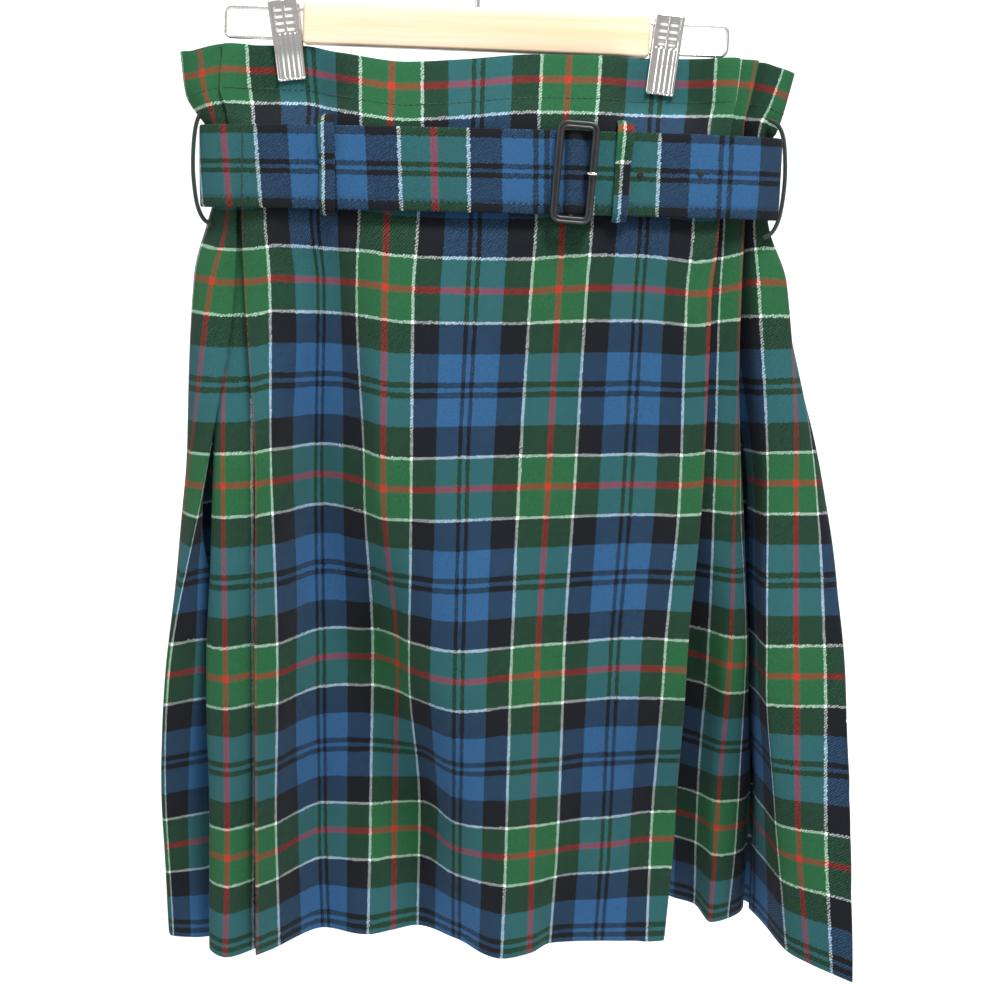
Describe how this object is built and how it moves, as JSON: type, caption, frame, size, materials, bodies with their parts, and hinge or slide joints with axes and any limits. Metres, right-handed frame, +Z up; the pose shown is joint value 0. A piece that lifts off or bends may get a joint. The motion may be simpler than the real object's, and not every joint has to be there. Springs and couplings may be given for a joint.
{
  "type": "checked wrap skirt on a clip hanger",
  "caption": "Kilt-style wrap skirt in checked wool twill with a buckled belt of the same cloth, hung flat by two metal clips from a wooden bar hanger.",
  "frame": {"origin": "the point inside the hanger's hook where it bears on the rail that carries it", "axes": "+Z up, -Y the front of the skirt, +X to the right when the front is seen"},
  "size_m": [0.4293, 0.1586, 0.6411],
  "materials": {
    "wool_twill": "soft matte wool twill in a green, blue, black, white and red check",
    "cord": "dark green twisted cord",
    "buckle_leather": "black grained leather, low sheen",
    "bright_steel": "bright plated steel",
    "pale_wood": "clear satin varnish on pale wood"
  },
  "bodies": {
    "root": {"front_apron": "wool_twill", "left_front_pleat": "wool_twill", "left_side_pleat": "wool_twill", "right_side_panel": "wool_twill", "under_apron": "wool_twill", "right_front_pleat": "wool_twill", "back_panel_left": "wool_twill", "back_panel_right": "wool_twill", "belt": "wool_twill", "belt_loop_left": "wool_twill", "belt_loop_right": "wool_twill", "thread_loop_left": "cord", "thread_loop_right": "cord", "buckle_frame": "buckle_leather", "buckle_bar": "bright_steel", "buckle_prong": "bright_steel", "hanger_bar": "pale_wood", "hanger_hook": "bright_steel", "rail_left": "bright_steel", "rail_right": "bright_steel", "clip_left_front": "bright_steel", "clip_left_back": "bright_steel", "clip_left_spring": "bright_steel", "clip_right_front": "bright_steel", "clip_right_back": "bright_steel", "clip_right_spring": "bright_steel"}
  },
  "joints": []
}
